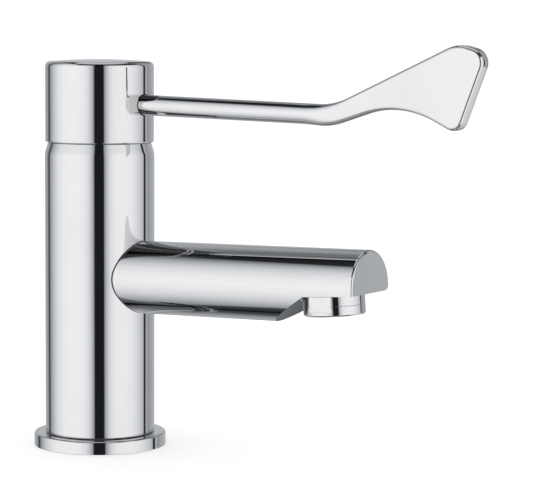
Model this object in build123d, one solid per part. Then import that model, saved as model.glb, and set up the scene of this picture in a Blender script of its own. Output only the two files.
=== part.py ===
from build123d import *
import math
import os

# Elbow lever tap, millimetres and degrees.
# The spout points along +X, the deck is the plane Z = 0, and the column's axis is the Z axis.

# Clearances
seat_clearance = 0.05
thread_clearance = 0.1
running_clearance = 0.05
loose_clearance = 0.3
slide_gap = 0.1
overrun = 2.0

# Cartridge, the standard size that the column is built round
cartridge_radius = 17.4
cartridge_clearance = 0.2
cartridge_depth = 37.2
cartridge_base_height = 6.0
housing_height = 24.0
housing_wall = 3.85
housing_roof_gap = 0.2
housing_neck_wall = 6.0
housing_neck_height = 11.0

# Column
column_height = 125.2
column_wall = 3.8
shoulder_height = 5.7
shoulder_inset = 1.3
foot_inset = 2.0

# Base ring and its gasket
base_ring_overhang = 4.7
base_ring_height = 5.4
base_ring_edge_fillet = 0.6
gasket_margin = 1.9
gasket_width = 2.4
gasket_height = 1.6

# Sockets in the underside: two inlets (M10 x 1) and the fixing stud (M8)
inlet_spread_angle = 138.8
inlet_socket_radius = 4.5
inlet_socket_depth = 12.0
stud_offset = 11.0
stud_socket_radius = 3.4
stud_socket_depth = 15.0

# Nut that holds the cartridge down
nut_thread_depth = 1.2
nut_height = 7.0
nut_play = 0.4
nut_notch_width = 3.0
nut_notch_depth = 2.0
nut_notch_count = 6

# Ports, discs and seals
inlet_port_radius = 3.2
inlet_inset = 0.4
outlet_port_radius = 3.6
seal_ring_radius = 4.2
seal_section_radius = 0.75
seal_section_sides = 8
pin_rim_distance = 3.9
pin_angle = 35.0
pin_radius = 1.4
pin_height = 2.2
disc_height = 3.5
disc_ring_clearance = 0.5
disc_key_width = 3.0
disc_key_depth = 1.6
disc_key_height = 1.6
port_land = 2.0
port_width = 5.2
cold_port_start = 119.0
cold_port_end = 157.0
hot_port_start = 163.0
hot_port_end = 202.0
lobe_angle = 97.0
lobe_half_span = 18.0
lobe_depth = 1.8
carrier_height = 5.0
carrier_floor = 1.0

# Spindle
spindle_radius = 5.0
spindle_square = 7.0
spindle_square_length = 18.0
spindle_seal_lift = 6.0
spindle_seal_section = 0.9

# Turn stop
turn_range = 100.0
stop_start_angle = 200.0
stop_lug_span = 30.0
stop_play_angle = 1.0
stop_ring_width = 4.45
stop_ring_height = 3.0
stop_ring_lift = 0.1
stop_lug_width = 2.6

# Slide ring in the gap under the cap
slide_ring_inset = 1.4
slide_ring_thickness = 0.5
slide_ring_width = 1.9

# Cap
cap_step = 0.2
cap_height = 33.5
cap_dome_rise = 1.1
cap_top_fillet = 1.4
cap_bottom_fillet = 1.4
cap_wall = 2.9
cap_roof_thickness = 5.3

# Hub in the cap
hub_wall = 7.0
hub_lift = 2.2
hub_flange_height = 3.0
hub_spigot_radius = 8.0
hub_spigot_height = 2.0
lever_thread_radius = 3.9
lever_thread_start = 0.8
grub_screw_radius = 2.4
grub_screw_length = 9.0
grub_screw_hex = 2.5
grub_screw_hex_depth = 2.6
plug_radius = 2.8
plug_thickness = 1.6

# Lever: a round rod that blends into a fish-tail plate, drawn level and tipped down by its slope.
# The paddle's corners are shares of its length and rise, counted from the neck on the rod's axis.
lever_rise = 15.6
lever_slope = 1.27
rod_root_radius = 4.2
rod_taper = 0.13
rod_shoulder_inset = 0.8
neck_reach = 111.6
throat_setback = 2.0
throat_drop = 0.48
paddle_length = 64.1
paddle_rise = 29.1
paddle_corner_shares = ((0.824, 1.0), (1.0, 0.883), (0.827, -0.146), (0.445, 0.231))
paddle_radius_shares = (0.5, 0.25, 0.072, 0.037, 0.62, 0.37)
plate_thickness = 6.6
plate_edge_fillet = 0.8
blend_lead = 13.6
blend_length = 22.0
blend_side_angle = 14.0
blend_shares = (
    (0.0, 0.0, 0.0),
    (0.25, 0.15, 0.2),
    (0.5, 0.5, 0.5),
    (0.75, 0.85, 0.8),
)

# Aerator, the standard M24 size that the spout's end is built round
aerator_radius = 12.1
aerator_length = 8.1
aerator_edge_chamfer = 0.5
aerator_flat_depth = 0.95
aerator_flat_end = 1.7
aerator_collar_step = 0.6
aerator_thread_length = 6.5
aerator_sleeve_wall = 1.8
aerator_lip_width = 0.8
aerator_lip_thickness = 1.0
washer_width = 3.1
washer_thickness = 1.5
insert_wall = 1.6
insert_plate = 1.4
insert_hole_radius = 0.9
insert_hole_count = 10
insert_circle_share = 0.7
grid_thickness = 1.6
grid_pitch = 2.5
grid_hole_radius = 1.05

# Spout, drawn level and tipped up by its slope
spout_drop = 17.62
spout_slope = 1.25
spout_length = 127.7
spout_wall = 2.6
spout_root_widening = 0.9
spout_root_heightening = 0.15
spout_end_fillet = 0.6
spout_spigot_step = 3.35
spout_spigot_length = 13.5
waterway_radius = 8.0
waterway_setback = 29.4
channel_radius = 5.4
channel_wall = 3.7

# Outlet: the flat underside and the facet before it
outlet_end_wall = 4.2
outlet_drop = 2.81
outlet_tilt = 4.0
facet_offset = 5.6
facet_angle = 32.5

# Radii that follow the cartridge
bore_radius = cartridge_radius + cartridge_clearance
nut_thread_radius = cartridge_radius + nut_thread_depth
column_radius = nut_thread_radius + thread_clearance + column_wall
foot_radius = column_radius - foot_inset
base_ring_radius = column_radius + base_ring_overhang
gasket_outer_radius = base_ring_radius - gasket_margin
gasket_inner_radius = gasket_outer_radius - gasket_width
cap_radius = column_radius - cap_step
slide_ring_radius = cap_radius - slide_ring_inset
disc_radius = cartridge_radius - housing_wall - disc_ring_clearance - seat_clearance
port_outer_radius = disc_radius - port_land
port_inner_radius = port_outer_radius - port_width
inlet_circle_radius = port_outer_radius - inlet_inset
pin_circle_radius = cartridge_radius - pin_rim_distance
housing_neck_radius = spindle_radius + housing_neck_wall
nut_bore_radius = housing_neck_radius + nut_play
stop_ring_radius = housing_neck_radius + seat_clearance + stop_ring_width
hub_radius = spindle_radius + hub_wall
hub_flange_radius = stop_ring_radius - loose_clearance

# Heights from the deck upwards
cartridge_floor = column_height - cartridge_depth
spout_height = cartridge_floor - spout_drop
disc_bottom = cartridge_floor + cartridge_base_height
moving_disc_bottom = disc_bottom + disc_height
carrier_bottom = moving_disc_bottom + disc_height
carrier_top = carrier_bottom + carrier_height
carrier_socket_bottom = carrier_bottom + carrier_floor
housing_shoulder = cartridge_floor + housing_height
housing_neck_top = housing_shoulder + housing_neck_height
spindle_seal_height = housing_shoulder + spindle_seal_lift
nut_top = housing_shoulder + nut_height
stop_ring_bottom = nut_top + stop_ring_lift
stop_ring_top = stop_ring_bottom + stop_ring_height
lever_head_bottom = column_height + slide_ring_thickness + slide_gap
hub_flange_bottom = lever_head_bottom + hub_lift
spindle_top = hub_flange_bottom + spindle_square_length
lever_height = lever_head_bottom + lever_rise
cap_top = lever_head_bottom + cap_height
cap_roof = cap_top - cap_roof_thickness

# Distances along the lever
rod_end_radius = rod_root_radius - rod_taper
rod_shoulder = hub_radius - rod_shoulder_inset
lever_thread_end = spindle_radius + lever_thread_start
blend_start = neck_reach - blend_lead
blend_end = blend_start + blend_length

# Radii and distances that follow the aerator
aerator_thread_radius = aerator_radius - aerator_collar_step
aerator_bore_radius = aerator_thread_radius - aerator_sleeve_wall
aerator_lip_radius = aerator_bore_radius - aerator_lip_width
washer_inner_radius = aerator_thread_radius - washer_width
insert_radius = aerator_bore_radius - running_clearance
insert_inner_radius = insert_radius - insert_wall
spout_end_radius = aerator_radius + spout_wall
spout_root_half_width = spout_end_radius + spout_root_widening
spout_root_half_height = spout_end_radius + spout_root_heightening
spout_spigot_radius = spout_root_half_height - spout_spigot_step
spout_spigot_start = column_radius - spout_spigot_length
outlet_reach = spout_length - aerator_radius - outlet_end_wall
outlet_height = spout_height + outlet_reach * math.tan(math.radians(spout_slope)) - outlet_drop
waterway_end = outlet_reach - waterway_setback
channel_lift = spout_end_radius - channel_wall - channel_radius


def cylinder(radius, bottom, top, x=0, y=0):
    """Upright cylinder between two heights."""
    return Pos(x, y, bottom) * Cylinder(
        radius, top - bottom, align=(Align.CENTER, Align.CENTER, Align.MIN)
    )


def tube(outer, inner, bottom, top):
    """Upright ring between two heights."""
    return cylinder(outer, bottom, top) - cylinder(inner, bottom - overrun, top + overrun)


def sector(inner, outer, bottom, top, start, end):
    """Part of an upright ring, from one angle about Z to another."""
    profile = Plane.XZ * Polyline(
        (inner, bottom), (outer, bottom), (outer, top), (inner, top), close=True
    )
    return Rot(0, 0, start) * revolve(make_face(profile), Axis.Z, end - start)


def along_x(radius, start, end, z=0, y=0):
    """Cylinder that lies along X."""
    lying = Rot(0, 90, 0)
    return Pos(start, y, z) * lying * Cylinder(
        radius, end - start, align=(Align.CENTER, Align.CENTER, Align.MIN)
    )


def square_bar(width, bottom, top):
    """Upright square bar between two heights."""
    return Pos(0, 0, bottom) * Box(
        width, width, top - bottom, align=(Align.CENTER, Align.CENTER, Align.MIN)
    )


def o_ring(radius, section_radius):
    """Rubber ring whose eight-sided section stands for its squeezed round one."""
    section = RegularPolygon(section_radius, seal_section_sides)
    return revolve(Plane.XZ * Pos(radius, 0) * section, Axis.Z)


def polar(radius, angle):
    """Point on a circle about Z."""
    return radius * math.cos(math.radians(angle)), radius * math.sin(math.radians(angle))


def spout_frame():
    return Pos(0, 0, spout_height) * Rot(0, -spout_slope, 0)


def outlet_frame():
    return Pos(outlet_reach, 0, outlet_height) * Rot(0, -outlet_tilt, 0)


def lever_frame():
    return Pos(0, 0, lever_height) * Rot(0, lever_slope, 0)


def inlet_places():
    return [polar(inlet_circle_radius, side * inlet_spread_angle) for side in (1, -1)]


def pin_places():
    return [polar(pin_circle_radius, side * pin_angle) for side in (1, -1)]


def make_column():
    """Turned column with its foot, shoulder, cartridge bore, waterways and sockets."""
    shoulder_start = column_height - shoulder_height
    rim = column_radius - shoulder_inset
    outline = Polyline(
        (0, column_height),
        (0, 0),
        (foot_radius, 0),
        (foot_radius, base_ring_height),
        (column_radius, base_ring_height),
        (column_radius, shoulder_start),
    )
    outline += TangentArc(
        (column_radius, shoulder_start), (rim, column_height), tangent=(0, 1)
    )
    outline += Line((rim, column_height), (0, column_height))
    column = revolve(make_face(Plane.XZ * outline), Axis.Z)
    column -= cylinder(bore_radius, cartridge_floor, column_height)
    column -= cylinder(
        nut_thread_radius + thread_clearance, housing_shoulder, column_height + overrun
    )
    for x, y in inlet_places():
        column -= cylinder(inlet_port_radius, 0, cartridge_floor + overrun, x, y)
        column -= cylinder(inlet_socket_radius, -overrun, inlet_socket_depth, x, y)
    for x, y in pin_places():
        column -= cylinder(
            pin_radius + seat_clearance,
            cartridge_floor - pin_height - loose_clearance,
            cartridge_floor + overrun,
            x,
            y,
        )
    column -= cylinder(stud_socket_radius, -overrun, stud_socket_depth, stud_offset)
    column -= cylinder(outlet_port_radius, spout_height, cartridge_floor + overrun)
    column -= spout_frame() * along_x(
        spout_spigot_radius + seat_clearance, spout_spigot_start, column_radius + overrun
    )
    column -= spout_frame() * along_x(waterway_radius, 0, column_radius)
    return column


def make_base_ring():
    """Flat ring under the column, with a rounded rim and a groove for its gasket."""
    ring = cylinder(base_ring_radius, 0, base_ring_height)
    rim = ring.edges().filter_by(GeomType.CIRCLE).sort_by(Axis.Z)[-1]
    ring = fillet(rim, base_ring_edge_fillet)
    ring -= cylinder(foot_radius + seat_clearance, -overrun, base_ring_height + overrun)
    return ring - tube(
        gasket_outer_radius + seat_clearance,
        gasket_inner_radius - seat_clearance,
        -overrun,
        gasket_height,
    )


def make_base_gasket():
    return tube(gasket_outer_radius, gasket_inner_radius, 0, gasket_height)


def spout_outside():
    """Slim oval at the column that becomes a circle at the end."""
    root = Plane.YZ * Ellipse(spout_root_half_width, spout_root_half_height)
    end = Plane.YZ.offset(spout_length) * Circle(spout_end_radius)
    outside = loft([root, end])
    end_edge = outside.edges().sort_by(Axis.X)[-1]
    return spout_frame() * fillet(end_edge, spout_end_fillet)


def outlet_cut():
    """What is cut from the spout's underside: the flat and the facet that leads to it."""
    depth = spout_root_half_height * 2
    run = depth / math.tan(math.radians(facet_angle + outlet_tilt))
    end = spout_length - outlet_reach + overrun
    side = Polyline(
        (-facet_offset, 0),
        (end, 0),
        (end, -depth),
        (-facet_offset - run, -depth),
        close=True,
    )
    prism = extrude(make_face(Plane.XZ * side), spout_root_half_width + overrun, both=True)
    return outlet_frame() * prism


def make_spout():
    """Round spout with a spigot in the column, a waterway and the aerator's threaded seat."""
    spout = spout_outside() - cylinder(column_radius + seat_clearance, 0, column_height)
    spout -= outlet_cut()
    spout += spout_frame() * along_x(spout_spigot_radius, spout_spigot_start, column_radius + overrun)
    spout -= spout_frame() * along_x(waterway_radius, 0, waterway_end)
    spout -= spout_frame() * along_x(
        channel_radius, column_radius, outlet_reach, channel_lift
    )
    seat_depth = aerator_thread_length + washer_thickness
    spout -= outlet_frame() * cylinder(
        aerator_thread_radius + thread_clearance, -overrun, seat_depth
    )
    return spout - outlet_frame() * cylinder(
        aerator_radius + cartridge_clearance, -aerator_length - overrun, 0
    )


def make_aerator_housing():
    """Threaded sleeve with a round collar, two wrench flats and a lip that holds the insert."""
    collar = cylinder(aerator_radius, -aerator_length, 0)
    low_edge = collar.edges().filter_by(GeomType.CIRCLE).sort_by(Axis.Z)[0]
    collar = chamfer(low_edge, aerator_edge_chamfer)
    flat_place = 2 * aerator_radius - aerator_flat_depth
    for side in (1, -1):
        slab = Pos(0, side * flat_place, aerator_flat_end - aerator_length)
        collar -= slab * Box(
            2 * aerator_radius,
            2 * aerator_radius,
            aerator_length,
            align=(Align.CENTER, Align.CENTER, Align.MIN),
        )
    housing = collar + cylinder(aerator_thread_radius, 0, aerator_thread_length)
    lip_top = aerator_lip_thickness - aerator_length
    housing -= cylinder(aerator_bore_radius, lip_top, aerator_thread_length + overrun)
    housing -= cylinder(aerator_lip_radius, -aerator_length - overrun, 0)
    return outlet_frame() * housing


def make_aerator_insert():
    """Plastic cup that breaks the water into jets."""
    bottom = aerator_lip_thickness - aerator_length + grid_thickness
    top = aerator_thread_length
    insert = cylinder(insert_radius, bottom, top)
    insert -= cylinder(insert_inner_radius, bottom - overrun, top - insert_plate)
    jet = cylinder(insert_hole_radius, top - insert_plate - overrun, top + overrun)
    for place in PolarLocations(insert_circle_share * insert_inner_radius, insert_hole_count):
        insert -= place * jet
    return outlet_frame() * insert


def make_aerator_grid():
    """Straightener with a honeycomb of holes, seen from below."""
    bottom = aerator_lip_thickness - aerator_length
    grid = cylinder(insert_radius, bottom, bottom + grid_thickness)
    cell = RegularPolygon(grid_hole_radius, 6)
    holes = []
    rows = 2 * round(aerator_lip_radius / grid_pitch) + 1
    for place in HexLocations(grid_pitch / 2, rows, rows):
        if place.position.length < aerator_lip_radius - grid_hole_radius:
            holes.append(place * cell)
    cells = Pos(0, 0, bottom - overrun) * extrude(Sketch() + holes, grid_thickness + 2 * overrun)
    return outlet_frame() * (grid - cells)


def make_aerator_washer():
    ring = tube(
        aerator_thread_radius,
        washer_inner_radius,
        aerator_thread_length,
        aerator_thread_length + washer_thickness,
    )
    return outlet_frame() * ring


def disc_keys(radius, bottom, top, clearance):
    """Two keys at the rim of a disc, or with clearance the notches that take them."""
    width = disc_key_width + 2 * clearance
    block = Pos(0, 0, bottom) * Box(
        2 * (radius + overrun),
        width,
        top - bottom,
        align=(Align.CENTER, Align.CENTER, Align.MIN),
    )
    inner = radius - disc_key_depth - clearance
    return block & tube(radius + disc_ring_clearance, inner, bottom, top)


def make_cartridge_base():
    """Plastic base with inlet and outlet ports, seal grooves, locating pins and disc keys."""
    base = cylinder(cartridge_radius, cartridge_floor, disc_bottom)
    base += disc_keys(disc_radius, disc_bottom, disc_bottom + disc_key_height, 0)
    for x, y in pin_places():
        base += cylinder(pin_radius, cartridge_floor - pin_height, cartridge_floor, x, y)
    groove_top = cartridge_floor + 2 * seal_section_radius
    middle = cartridge_floor + cartridge_base_height / 2
    base -= cylinder(outlet_port_radius, cartridge_floor - overrun, disc_bottom + overrun)
    ports = (
        (inlet_spread_angle, cold_port_start, cold_port_end),
        (360 - inlet_spread_angle, hot_port_start, hot_port_end),
    )
    chamber_bottom = groove_top + seal_section_radius
    for inlet_angle, start, end in ports:
        x, y = polar(inlet_circle_radius, inlet_angle)
        base -= cylinder(inlet_port_radius, cartridge_floor - overrun, middle, x, y)
        base -= sector(
            port_inner_radius,
            port_outer_radius,
            chamber_bottom,
            middle,
            min(start, inlet_angle),
            max(end, inlet_angle),
        )
        base -= sector(
            port_inner_radius, port_outer_radius, chamber_bottom, disc_bottom + overrun, start, end
        )
    groove_radius = seal_ring_radius + seal_section_radius + seat_clearance
    for x, y in inlet_places() + [(0, 0)]:
        base -= cylinder(groove_radius, cartridge_floor - overrun, groove_top, x, y)
    return base


def make_port_seal(x, y):
    """O-ring round one port, between the cartridge and the column's floor."""
    height = cartridge_floor + seal_section_radius
    return Pos(x, y, height) * o_ring(seal_ring_radius, seal_section_radius)


def make_fixed_disc():
    """Ceramic disc with cold, hot and outlet openings."""
    disc = cylinder(disc_radius, disc_bottom, moving_disc_bottom)
    disc -= disc_keys(
        disc_radius, disc_bottom - overrun, disc_bottom + disc_key_height + seat_clearance, seat_clearance
    )
    disc -= cylinder(outlet_port_radius, disc_bottom - overrun, moving_disc_bottom + overrun)
    for start, end in ((cold_port_start, cold_port_end), (hot_port_start, hot_port_end)):
        disc -= sector(
            port_inner_radius,
            port_outer_radius,
            disc_bottom - overrun,
            moving_disc_bottom + overrun,
            start,
            end,
        )
    return disc


def make_moving_disc():
    """Ceramic disc whose underside channel joins a port to the outlet as it turns."""
    disc = cylinder(disc_radius, moving_disc_bottom, carrier_bottom)
    channel_top = moving_disc_bottom + lobe_depth
    disc -= cylinder(outlet_port_radius, moving_disc_bottom - overrun, channel_top)
    disc -= sector(
        outlet_port_radius / 2,
        port_outer_radius,
        moving_disc_bottom - overrun,
        channel_top,
        lobe_angle - lobe_half_span,
        lobe_angle + lobe_half_span,
    )
    return disc - disc_keys(
        disc_radius,
        carrier_bottom - disc_key_height - seat_clearance,
        carrier_bottom + overrun,
        seat_clearance,
    )


def make_disc_carrier():
    """Driver between the spindle's square and the moving disc's notches."""
    carrier = cylinder(disc_radius, carrier_bottom, carrier_top)
    carrier += disc_keys(disc_radius, carrier_bottom - disc_key_height, carrier_bottom, 0) & (
        cylinder(disc_radius, carrier_bottom - disc_key_height, carrier_bottom)
    )
    return carrier - square_bar(
        spindle_square + 2 * seat_clearance, carrier_socket_bottom, carrier_top + overrun
    )


def make_cartridge_housing():
    """Plastic shell over the discs, with a neck that guides the spindle."""
    cavity_top = carrier_top + housing_roof_gap
    housing = cylinder(cartridge_radius, disc_bottom, housing_shoulder)
    housing += cylinder(housing_neck_radius, housing_shoulder, housing_neck_top)
    housing -= cylinder(cartridge_radius - housing_wall, disc_bottom - overrun, cavity_top)
    housing -= cylinder(spindle_radius + running_clearance, disc_bottom, housing_neck_top + overrun)
    groove = 2 * (spindle_seal_section + seat_clearance)
    return housing - cylinder(
        spindle_radius + groove, spindle_seal_height - groove / 2, spindle_seal_height + groove / 2
    )


def make_spindle_seal():
    ring_radius = spindle_radius + spindle_seal_section + running_clearance
    return Pos(0, 0, spindle_seal_height) * o_ring(ring_radius, spindle_seal_section)


def make_spindle():
    """Round shaft in the neck, squared below for the carrier and above for the hub."""
    spindle = square_bar(spindle_square, carrier_socket_bottom, carrier_top)
    spindle += cylinder(spindle_radius, carrier_top, hub_flange_bottom)
    return spindle + square_bar(spindle_square, hub_flange_bottom, spindle_top)


def make_cartridge_nut():
    """Threaded ring that holds the cartridge down, notched for its key."""
    nut = tube(nut_thread_radius, nut_bore_radius, housing_shoulder, nut_top)
    notch = Pos(nut_thread_radius, 0, nut_top - nut_notch_depth) * Box(
        nut_notch_width * 2,
        nut_notch_width,
        nut_notch_depth + overrun,
        align=(Align.CENTER, Align.CENTER, Align.MIN),
    )
    for place in PolarLocations(0, nut_notch_count):
        nut -= place * notch
    return nut


def make_stop_ring():
    """Ring on the cartridge's neck whose long lug limits the turn."""
    inner = housing_neck_radius + seat_clearance
    ring = tube(stop_ring_radius, inner, stop_ring_bottom, stop_ring_top)
    start = stop_start_angle + stop_lug_span + turn_range + stop_play_angle
    end = stop_start_angle + 360 - stop_play_angle
    lug_top = hub_flange_bottom - loose_clearance
    return ring + sector(
        stop_ring_radius - stop_lug_width, stop_ring_radius, stop_ring_top, lug_top, start, end
    )


def make_slide_ring():
    """Washer in the gap between the column and the cap."""
    return tube(
        slide_ring_radius,
        slide_ring_radius - slide_ring_width,
        column_height,
        column_height + slide_ring_thickness,
    )


def make_cap():
    """Turned cap with a slightly domed top, holes for the lever and the grub screw."""
    edge_top = cap_top - cap_dome_rise
    side = Polyline((0, cap_top), (0, lever_head_bottom), (cap_radius, lever_head_bottom))
    side += Line((cap_radius, lever_head_bottom), (cap_radius, edge_top))
    side += TangentArc((0, cap_top), (cap_radius, edge_top), tangent=(1, 0))
    profile = make_face(side)
    low_corner, high_corner = profile.vertices().sort_by(Axis.X)[-2:].sort_by(Axis.Y)
    profile = fillet(low_corner, cap_bottom_fillet)
    high_corner = profile.vertices().sort_by(Axis.X)[-2:].sort_by(Axis.Y)[-1]
    profile = fillet(high_corner, cap_top_fillet)
    cap = revolve(Plane.XZ * profile, Axis.Z)
    cap -= cylinder(cap_radius - cap_wall, lever_head_bottom - overrun, cap_roof)
    cap -= cylinder(
        hub_spigot_radius + seat_clearance, cap_roof - overrun, cap_roof + hub_spigot_height
    )
    cap -= lever_frame() * along_x(
        rod_root_radius + running_clearance, rod_shoulder, cap_radius + overrun
    )
    return cap - along_x(
        plug_radius + seat_clearance, -cap_radius - overrun, -hub_radius, lever_height
    )


def make_cap_hub():
    """Hub that carries cap and lever on the spindle's square, with the lug of the turn stop."""
    hub = cylinder(hub_radius, hub_flange_bottom, cap_roof)
    hub += cylinder(hub_flange_radius, hub_flange_bottom, hub_flange_bottom + hub_flange_height)
    spigot_top = cap_roof + hub_spigot_height - seat_clearance
    hub += cylinder(hub_spigot_radius, cap_roof, spigot_top)
    hub += sector(
        stop_ring_radius - stop_lug_width,
        hub_flange_radius,
        stop_ring_top + loose_clearance,
        hub_flange_bottom,
        stop_start_angle,
        stop_start_angle + stop_lug_span,
    )
    hub -= square_bar(
        spindle_square + 2 * seat_clearance, hub_flange_bottom - overrun, spindle_top + seat_clearance
    )
    hub -= lever_frame() * along_x(
        lever_thread_radius + thread_clearance, lever_thread_end - loose_clearance, hub_radius + overrun
    )
    hub -= lever_frame() * along_x(
        rod_root_radius + loose_clearance, rod_shoulder - seat_clearance, hub_radius + overrun
    )
    return hub - along_x(
        grub_screw_radius + thread_clearance, -hub_radius - overrun, 0, lever_height
    )


def make_grub_screw():
    """Socket set screw that clamps the hub on the spindle's square."""
    tip = -spindle_square / 2 - seat_clearance
    head = tip - grub_screw_length
    screw = along_x(grub_screw_radius, head, tip, lever_height)
    hexagon = Plane.YZ.offset(head) * RegularPolygon(grub_screw_hex / 2, 6, major_radius=False)
    socket = extrude(hexagon, grub_screw_hex_depth)
    return screw - Pos(0, 0, lever_height) * socket


def make_plug():
    """Small cover flush in the cap's wall at the back."""
    blank = along_x(plug_radius, -cap_radius, plug_thickness - cap_radius, lever_height)
    return blank & cylinder(cap_radius, 0, cap_top)


def plate_outline():
    """Side view of the fish-tail plate, closed at the rod."""
    top = (blend_start, rod_end_radius)
    bottom = (blend_start, -rod_end_radius)
    neck = (neck_reach, rod_end_radius)
    throat = (neck_reach - throat_setback, -rod_end_radius - throat_drop)
    corners = [
        (neck_reach + along * paddle_length, up * paddle_rise) for along, up in paddle_corner_shares
    ]
    radii = [share * paddle_length for share in paddle_radius_shares]
    outline = FilletPolyline(top, neck, *corners, throat, bottom, radius=radii)
    return make_face(outline + Line(bottom, top))


def plate_span(outline, x):
    """Heights where the side view starts and ends at one distance from the column."""
    reach = paddle_rise + overrun
    cut = outline & Line((x, -reach), (x, reach))
    heights = [vertex.Y for vertex in cut.vertices()]
    return min(heights), max(heights)


def blend_section(x, low, high, half_width, square):
    """Section of four sides and four corners: a circle at square 0, the plate's form at 1."""
    half_depth = (high - low) / 2
    corner = plate_edge_fillet
    flat = math.radians(blend_side_angle)
    diagonal = math.sqrt(1 / 2)
    inset = corner * (1 - diagonal)

    def mix(share_y, share_z, plate_y, plate_z):
        y = (1 - square) * share_y * half_width + square * plate_y
        z = (1 - square) * share_z * half_depth + square * plate_z
        return y, z

    side = mix(math.cos(flat), math.sin(flat), half_width, half_depth - corner)
    middle = mix(diagonal, diagonal, half_width - inset, half_depth - inset)
    top = mix(math.sin(flat), math.cos(flat), half_width - corner, half_depth)
    edges = []
    for turn_y, turn_z in ((1, 1), (-1, 1), (-1, -1), (1, -1)):
        quadrant = [(turn_y * y, turn_z * z) for y, z in (side, middle, top)]
        edges.append(ThreePointArc(*quadrant))
    for turn in (1, -1):
        side_ends = [(turn * side[0], end * side[1]) for end in (-1, 1)]
        edges.append(ThreePointArc(side_ends[0], (turn * half_width, 0), side_ends[1]))
        top_ends = [(end * top[0], turn * top[1]) for end in (-1, 1)]
        edges.append(ThreePointArc(top_ends[0], (0, turn * half_depth), top_ends[1]))
    outline = Wire(edges)
    return Plane.YZ.offset(x) * Pos(0, (low + high) / 2) * make_face(outline)


def make_plate(outline):
    """Fish-tail plate with rounded edges, cut off where the blend ends."""
    plate = extrude(Plane.XZ * outline, plate_thickness / 2, both=True)
    rims = plate.faces().filter_by(Axis.Y).edges().filter_by(lambda e: e.center().X > blend_start)
    plate = fillet(rims, plate_edge_fillet)
    reach = 2 * paddle_length
    return plate & Pos(blend_end, 0, 0) * Box(
        reach, reach, reach, align=(Align.MIN, Align.CENTER, Align.CENTER)
    )


def make_lever():
    """Threaded root, tapering rod, blend and fish-tail plate in one piece."""
    outline = plate_outline()
    plate = make_plate(outline)
    plate_end = plate.faces().sort_by(Axis.X)[0]
    sections = []
    for share, thin, square in blend_shares:
        x = blend_start + share * blend_length
        half_width = rod_end_radius + thin * (plate_thickness / 2 - rod_end_radius)
        sections.append(blend_section(x, *plate_span(outline, x), half_width, square))
    blend = loft(sections + [plate_end])
    root = blend_section(rod_shoulder, -rod_root_radius, rod_root_radius, rod_root_radius, 0)
    rod = loft([root, sections[0]])
    lever = rod + blend + plate
    lever += along_x(lever_thread_radius, lever_thread_end, rod_shoulder)
    return lever_frame() * lever


def write(name, shape):
    os.makedirs("parts", exist_ok=True)
    export_step(shape, os.path.join("parts", name + ".step"))


def main():
    write("column", make_column())
    write("base_ring", make_base_ring())
    write("base_gasket", make_base_gasket())
    write("spout", make_spout())
    write("aerator_housing", make_aerator_housing())
    write("aerator_insert", make_aerator_insert())
    write("aerator_grid", make_aerator_grid())
    write("aerator_washer", make_aerator_washer())
    write("cartridge_base", make_cartridge_base())
    port_names = ("port_seal_cold", "port_seal_hot", "port_seal_outlet")
    for name, place in zip(port_names, inlet_places() + [(0, 0)]):
        write(name, make_port_seal(*place))
    write("fixed_disc", make_fixed_disc())
    write("moving_disc", make_moving_disc())
    write("disc_carrier", make_disc_carrier())
    write("cartridge_housing", make_cartridge_housing())
    write("spindle_seal", make_spindle_seal())
    write("spindle", make_spindle())
    write("cartridge_nut", make_cartridge_nut())
    write("stop_ring", make_stop_ring())
    write("slide_ring", make_slide_ring())
    write("cap", make_cap())
    write("cap_hub", make_cap_hub())
    write("grub_screw", make_grub_screw())
    write("cap_plug", make_plug())
    write("lever", make_lever())


main()
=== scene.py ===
"""Elbow lever tap: a chromed column tap with a long spout and a fish-tail lever."""

import math

import bpy
import numpy as np
from mathutils import Matrix, Vector


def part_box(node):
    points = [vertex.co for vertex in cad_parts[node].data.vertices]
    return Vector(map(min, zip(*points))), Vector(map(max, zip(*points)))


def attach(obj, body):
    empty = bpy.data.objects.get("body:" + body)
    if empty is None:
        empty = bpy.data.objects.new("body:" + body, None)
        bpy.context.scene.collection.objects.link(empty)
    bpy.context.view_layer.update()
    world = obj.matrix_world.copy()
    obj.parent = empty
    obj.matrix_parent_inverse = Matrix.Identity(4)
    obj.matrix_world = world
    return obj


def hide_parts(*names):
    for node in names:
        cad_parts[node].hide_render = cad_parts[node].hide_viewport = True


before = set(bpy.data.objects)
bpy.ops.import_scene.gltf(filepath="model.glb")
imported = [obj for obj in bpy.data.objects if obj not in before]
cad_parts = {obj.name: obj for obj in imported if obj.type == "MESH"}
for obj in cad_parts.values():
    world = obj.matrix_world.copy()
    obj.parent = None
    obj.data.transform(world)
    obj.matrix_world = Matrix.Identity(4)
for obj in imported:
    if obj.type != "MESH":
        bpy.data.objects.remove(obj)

bl_info = {
    "name": "Elbow lever tap",
    "version": (1, 0, 0),
    "blender": (4, 5, 0),
    "location": "View3D > Sidebar > Tap",
    "description": "Builds the chromed tap, its finishes and its studio",
    "category": "Add Mesh",
}

MILLIMETRE = 0.001
SHARP_ANGLE = math.radians(30)
DECK_BODY = "tap_body"
HEAD_BODY = "lever_head"
WELD_DISTANCE = 0.000002

# Places and sizes of the CAD that several pieces follow, in millimetres
LEVER_ROOT_RADIUS = 4.2
PLUG_RADIUS = 2.8
SPOUT_LENGTH = 127.7
SPOUT_ROOT_HALVES = (15.6, 14.85)
SPOUT_END_RADIUS = 14.7
OUTLET_PLACE = 111.4
AERATOR_SEAT_RADIUS = 11.6

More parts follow.
